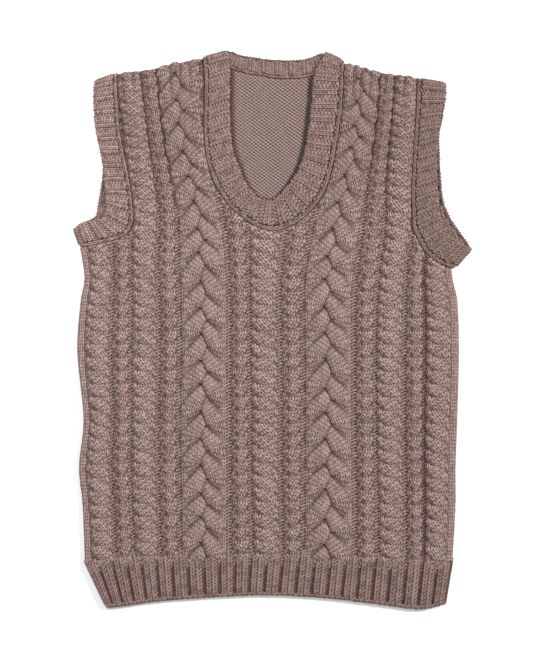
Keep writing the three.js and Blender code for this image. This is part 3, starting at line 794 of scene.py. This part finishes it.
def addHemStrip(fabric, first, last, form, top, flip):
    # the wales of one rib, or of the purl beside it, down the hem
    purl = form == "purl"
    count = 2
    rows = hemSettings["rows"]
    across, v, height = stitchGrid(form, count, 0, rows, 0.3)
    place = across / count * 2 - 1
    arch = 0 * place if purl else np.sqrt(np.clip(1 - (place * 0.94) ** 2, 0, 1))
    v = np.clip(v, 0, rows)
    grow = 0.16 if purl else 0.02
    share = first + (last - first) * ((1 + place * (1 + grow)) / 2)
    share = np.broadcast_to(np.clip(share, 0, 1), v.shape)
    down = 1 - v / rows
    bottom = fade(down, 0.9, 1.0)
    drop = hemSettings["purlDrop"] if purl else 0
    relief = hemSettings["crown"] * (arch - 1) + hemSettings["leg"] * (height - 1)
    relief = relief - drop * (1 - bottom) * fade(down, 0, 0.2)
    reach = 0.07 + 0.05 * chance.uniform(-1, 1.4)
    x, y = hemPlace(share, down * (0.975 + reach) - reach)
    z = top + relief - 0.8 * bottom - 1.6 * (1 - fade(down, 0, 0.14))
    section = np.stack([x, y, z], -1)
    points = skirted(section, top - hemSettings["wall"])
    # painted shade along each wale strip's sides, and on the purl that lies lower between the ribs
    shade = 1 - (0.55 if purl else 0.45) * np.abs(place) ** 6
    if flip:
        points[..., 2] = flip - points[..., 2]
    dim = hemSettings["purlDim"] if purl else 1
    addTube(fabric, points, across, v, height * shade * dim, bool(flip))


def addHemEdge(fabric, top, flip):
    # the cast-on chain along the hem's lower edge
    count = 3 * hemSettings["ribs"]
    across, v, height = stitchGrid("chain", 1, 0, count, 0.3)
    place = across * 2 - 1
    share = np.clip(v / count, 0.001, 0.999)
    down = 0.96 - 0.05 * place + 0.05 * (height - 0.5) * fade(-place, 0.2, 1)
    x, y = hemPlace(share, down)
    arch = np.sqrt(np.clip(1 - (place * 0.95) ** 2, 0, 1)) - 1
    z = top - 0.6 + 1.2 * arch + 0.8 * (height - 1)
    section = np.stack([x, y, z], -1)
    points = skirted(section, top - hemSettings["wall"])
    if flip:
        points[..., 2] = flip - points[..., 2]
    addTube(fabric, points, across, v, height, not flip)


def buildHem(name, low, high, top, flip, material):
    # a hem's inner cloth from low to high and its stitches up to top; flip turns them to face down
    shares, downs = np.linspace(0.004, 0.996, 49), np.linspace(0, 0.985, 5)
    around = np.concatenate([downs, downs[::-1]])
    x, y = hemPlace(shares[:, None], around[None, :])
    z = np.repeat([low, high], len(downs))
    base = Fabric(name + "_cloth")
    # stitch height 0: the hem's inner cloth, seen only between the ribs, gets the full painted shade
    base.add(np.stack(np.broadcast_arrays(x, y, z), -1), shares[:, None] * 96, (1 - around) * 13, 0.0,
             closed=True, ends=True)
    base = base.build(material, "rib_knit")
    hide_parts(name)
    ribs = Fabric(name + "_ribs")
    count, knit = hemSettings["ribs"], hemSettings["knitShare"]
    for rib in range(count):
        addHemStrip(ribs, rib / count, (rib + knit) / count, "rib", top, flip)
        addHemStrip(ribs, (rib + knit) / count, (rib + 1) / count, "purl", top, flip)
    addHemEdge(ribs, top, flip)
    ribPiece = ribs.build(material, "rib_knit")
    width = np.ptp(hemLines["topX"]) / 1000


class Socket:
    # wraps a shader socket so that maths on it is written as an expression
    def __init__(self, tree, socket):
        self.tree, self.socket = tree, socket

    def maths(self, operation, *values):
        return self.tree.node("ShaderNodeMath", {"operation": operation}, *values)

    def __add__(self, other):
        return self.maths("ADD", self, other)

    def __sub__(self, other):
        return self.maths("SUBTRACT", self, other)

    def __mul__(self, other):
        return self.maths("MULTIPLY", self, other)

    def __rsub__(self, other):
        return self.maths("SUBTRACT", other, self)

    __radd__ = __add__
    __rmul__ = __mul__


class Shader:
    def __init__(self, name):
        self.material = bpy.data.materials.new(name)
        self.material.use_nodes = True
        self.tree = self.material.node_tree
        self.surface = self.tree.nodes["Principled BSDF"]

    def node(self, kind, settings=None, *values, out=0, **named):
        # a node of this type with its settings, then its inputs by order or by name
        made = self.tree.nodes.new(kind)
        for key, value in (settings or {}).items():
            if key == "stops":
                ramp = made.color_ramp.elements
                while len(ramp) < len(value):
                    ramp.new(0.5)
                for stop, (place, colour) in zip(ramp, value):
                    stop.position, stop.color = place, (*colour, 1)
            else:
                setattr(made, key, value)
        for key, value in [*enumerate(values), *named.items()]:
            self.feed(made.inputs[key.replace("_", " ") if isinstance(key, str) else key], value)
        return Socket(self, made.outputs[out])

    def feed(self, socket, value):
        if isinstance(value, Socket):
            self.tree.links.new(value.socket, socket)
        elif value is not None:
            socket.default_value = value

    def mix(self, factor, first, second):
        made = self.tree.nodes.new("ShaderNodeMix")
        made.data_type = "RGBA"
        self.feed(made.inputs[0], factor)
        self.feed(made.inputs[6], first)
        self.feed(made.inputs[7], second)
        return Socket(self, made.outputs[2])


# the yarn's own pink, grey and pale fibres, and the colour of painted shade between stitches
yarnColours = {
    "pink": (0.364, 0.240, 0.222, 1),
    "grey": (0.330, 0.247, 0.216, 1),
    "pale": (0.470, 0.352, 0.320, 1),
    "paintedShadeColour": (0.048, 0.022, 0.016, 1),
}


def makeYarn(name, settings):
    # heathered wool: two dyed colours that drift along the yarn, paler fibres, and painted shade between the
    # stitches, where their stitch height is low
    shader = Shader(name)
    place = shader.node("ShaderNodeTexCoord", None, out=3)
    height = shader.node("ShaderNodeAttribute", {"attribute_name": "stitchHeight"}, out=2)
    drift = shader.node("ShaderNodeTexNoise", None, Vector=place, Scale=settings["driftScale"], Detail=2.0)
    flecks = shader.node("ShaderNodeTexNoise", None, Vector=place, Scale=settings["fleckScale"], Detail=2.0)
    fibres = shader.node("ShaderNodeTexNoise", None, Vector=place, Scale=settings["fibreScale"], Detail=3.0)
    shade = shader.node("ShaderNodeMapRange", None, drift, 0.36, 0.64, 0.15, 0.85)
    # painted shade: a factor that darkens all the yarn's colours, 1 for none
    paintedShade = settings["paintedShade"]
    shadedColours = {key: (*(part * paintedShade for part in value[:3]), 1) for key, value in yarnColours.items()}
    colour = shader.mix(shade, shadedColours["pink"], shadedColours["grey"])
    fleck = shader.node("ShaderNodeMapRange", None, flecks, 0.45, 0.72, 0.0, settings["paleness"])
    colour = shader.mix(fleck, colour, shadedColours["pale"])
    most, least = settings["hollow"], settings["least"]
    # painted shade: the lower a place lies in its stitch, the more it is mixed towards the shade colour
    hollow = shader.node("ShaderNodeMapRange", None, height, 0.18, 0.76, most, least)
    colour = shader.mix(hollow, colour, shadedColours["paintedShadeColour"])
    shader.feed(shader.surface.inputs["Base Color"], colour)
    shader.surface.inputs["Roughness"].default_value = 0.92
    shader.surface.inputs["Specular IOR Level"].default_value = 0.08
    shader.surface.inputs["Sheen Weight"].default_value = 0.06
    shader.surface.inputs["Sheen Roughness"].default_value = 0.6
    bump = shader.node("ShaderNodeBump", None, Height=fibres + flecks * 0.6, Distance=0.0006, Strength=0.55)
    shader.feed(shader.surface.inputs["Normal"], bump)
    return shader.material


# hollow is how far painted shade darkens the yarn between stitches, least how far painted shade darkens the
# tops of the stitches
yarnSettings = {"driftScale": 90.0, "fleckScale": 600.0, "fibreScale": 1700.0, "paleness": 0.54,
                "hollow": 0.9, "least": 0.0, "paintedShade": 1.0}
wool = makeYarn("heatheredWool", yarnSettings)
# the bands and the hem: lit and shaded copies of the yarn, with painted shade also on the stitches' tops,
# darkest on the right armband
ribPaintedShades = {"neckband": 0.28, "armband_left": 0.12, "armband_right": 0.4, "hem": 0.36}
ribWool = {}
for name, paintedShade in ribPaintedShades.items():
    ribWool[name] = makeYarn(f"ribWool_{name}", {**yarnSettings, "least": paintedShade})
# the back's inner side: a copy of the yarn with painted shade that darkens all its colours to 0.69, and a
# little less painted shade between stitches
shadedWoolInside = makeYarn("heatheredWoolInsideShaded", {**yarnSettings, "hollow": 0.85, "paintedShade": 0.69})
report("materials")

# Front: plain cloth inside, then each family of columns as its own piece
frontHeights = levels["frontFloor"], levels["frontCore"]
frontCloth = clothSlab("front_cloth", "front", *frontHeights, "cable_knit", wool, 1.2)
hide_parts("front_panel")
for kind, settings in cableSettings.items():
    for group, middles in (("left", [m for m in settings["middles"] if m < 0]),
                           ("right", [m for m in settings["middles"] if m >= 0])):
        fabric = Fabric(f"{kind}_cables_{group}")
        for middle in middles:
            for strand in range(settings["strands"]):
                addStrand(fabric, settings, middle, strand)
            if kind == "plait":
                addBorder(fabric, middle, -1)
                addBorder(fabric, middle, 1)
        fabric.build(wool, "cable_knit")

kinds = cableSettings.values()
cableEdges = sorted((m - kind["half"], m + kind["half"]) for kind in kinds for m in kind["middles"])
gutters = Fabric("purl_gutters")
for (_, first), (last, _) in zip(cableEdges, cableEdges[1:]):
    addGutter(gutters, first, last)
gutters.build(wool, "cable_knit")
sides = Fabric("side_stitches")
addSide(sides, -1)
addSide(sides, 1)
sides.build(wool, "cable_knit")

# Back: plain cloth
backHeights = levels["backFloor"], levels["backCore"]
backCloth = clothSlab("back_cloth", "back", *backHeights, "plain_knit", wool, 0.4)
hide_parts("back_panel")


insideSettings = {"left": -66, "right": 66, "low": 132, "high": 300, "stitch": 5.4, "bump": 1.95,
                  "floor": 1.0, "relief": 0.9, "hollow": 2.25, "lines": 0.32,
                  "pressDepth": 0.6, "bandShadowDim": 0.66}


def addPurlSide(fabric, settings, top):
    # the back's inner side: yarn bumps that lean, parted by small hollows, each line set half a stitch
    # aside; beside the neckband's front edge it is pressed down and darkened with painted shadow of the
    # band, more so higher up
    left, low, stitchWidth, bumpHeight = (settings[key] for key in ("left", "low", "stitch", "bump"))
    places = np.arange(0, round((settings["right"] - left) / stitchWidth) * 6 + 1) / 6
    along = np.arange(0, round((settings["high"] - low) / bumpHeight) * 3 + 1) / 3
    w, t = np.meshgrid(places, along)
    w = w + 0.12 * np.sin(t * 0.21) + 0.08 * np.sin(w * 0.9 + t * 0.13)
    t = t + 0.25 * np.sin(w * 0.35 + 0.05 * t)
    lines = 0.5 + 0.5 * np.cos(2 * np.pi * (w + t / 2))
    dots = 0.5 + 0.5 * np.cos(2 * np.pi * (w - t / 2))
    hollow = lines * (settings["lines"] + (1 - settings["lines"]) * dots ** 2)
    height = 1.1 - settings["hollow"] * hollow + 0.06 * chance.normal(size=w.shape)
    height = np.clip(height, 0, 1)
    x = left + np.broadcast_to(places, w.shape) * stitchWidth
    y = low + np.broadcast_to(along[:, None], w.shape) * bumpHeight
    frontEdge = seamCurve(bandTables["neckband"]["front"], "edgeX", "edgeY")
    far, _ = distanceTo(frontEdge, np.stack([x.ravel(), y.ravel()], -1))
    far = np.abs(far).reshape(x.shape)
    pressed = 1 - fade(far / (0.4 + 0.6 * fade(y, 150, 200)), 2, 8.5)
    z = top + settings["relief"] * (height - 1) - settings["pressDepth"] * pressed
    # painted shadow of the neckband on the cloth beside its front edge
    height = height * (1 - settings["bandShadowDim"] * pressed)
    section = np.stack([x, y, z], -1)
    section, inside = trim(section, "back", settings["floor"], 4)
    points = skirted(section, settings["floor"])
    keep = ringed(inside, False).astype(bool)
    fabric.add(points, ringed(w, 0), ringed(t, 0), ringed(height, 0), keep, closed=True)


inner = Fabric("back_inside")
addPurlSide(inner, insideSettings, levels["backTop"])
backInside = inner.build(shadedWoolInside, "plain_knit")

for bandName in rings:
    buildBand(bandName, ribWool[bandName])
hemLevels = {
    "front_hem_rib": {"low": levels["frontFloor"], "high": 4.2, "top": 6.9, "flip": None},
    "back_hem_rib": {"low": 1.8, "high": 2.8, "top": 2.9, "flip": 2.9},
}
for hemName, heights in hemLevels.items():
    buildHem(hemName, **heights, material=ribWool["hem"])

# Floor, light and camera
photo = {"width": 533, "height": 652, "mmPerPixel": 1.15, "originX": 271.7, "originY": 330.5}


def makeFloor():
    mesh = bpy.data.meshes.new("floor")
    size = 6.0
    corners = [(-size, -size, 0), (size, -size, 0), (size, size, 0), (-size, size, 0)]
    mesh.from_pydata(corners, [], [(0, 1, 2, 3)])
    floor = bpy.data.objects.new("floor", mesh)
    bpy.context.scene.collection.objects.link(floor)
    shader = Shader("paleFloor")
    shader.surface.inputs["Base Color"].default_value = (0.8, 0.8, 0.81, 1)
    shader.surface.inputs["Emission Color"].default_value = (0.97, 0.98, 1, 1)
    shader.surface.inputs["Emission Strength"].default_value = 0.22
    shader.surface.inputs["Roughness"].default_value = 0.9
    mesh.materials.append(shader.material)


lights = {
    "key": {"place": (6.2, 2.9, 4.2), "size": 1.2, "power": 880},
    "fill": {"place": (-0.55, 0.5, 1.1), "size": 0.6, "power": 12},
}
skyStrength = 0.42


def makeLight(name, place, size, power):
    # a square light aimed at the frame's origin
    lamp = bpy.data.lights.new(name, "AREA")
    lamp.shape, lamp.size, lamp.energy = "SQUARE", size, power
    light = bpy.data.objects.new(name, lamp)
    light.location = place
    light.rotation_euler = (-Vector(place)).to_track_quat("-Z", "Y").to_euler()
    bpy.context.scene.collection.objects.link(light)


def makeCamera():
    camera = bpy.data.objects.new("camera", bpy.data.cameras.new("camera"))
    camera.data.lens = 85
    camera.data.sensor_width = 36
    tall = photo["height"] * photo["mmPerPixel"] / 1000
    distance = tall * camera.data.lens / camera.data.sensor_width
    middleX = (photo["width"] / 2 - photo["originX"]) * photo["mmPerPixel"]
    middleY = (photo["originY"] - photo["height"] / 2) * photo["mmPerPixel"]
    spot = toFrame(np.array([middleX, middleY, 0.0]))
    camera.location = (spot[0], spot[1], distance)
    bpy.context.scene.collection.objects.link(camera)
    bpy.context.scene.camera = camera


makeFloor()
for lightName, settings in lights.items():
    makeLight(lightName, **settings)
world = bpy.data.worlds.new("studio")
world.use_nodes = True
world.node_tree.nodes["Background"].inputs[0].default_value = (1, 1, 1, 1)
world.node_tree.nodes["Background"].inputs[1].default_value = skyStrength
bpy.context.scene.world = world
bpy.context.scene.view_settings.view_transform = "Standard"
makeCamera()

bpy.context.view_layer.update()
report("done")
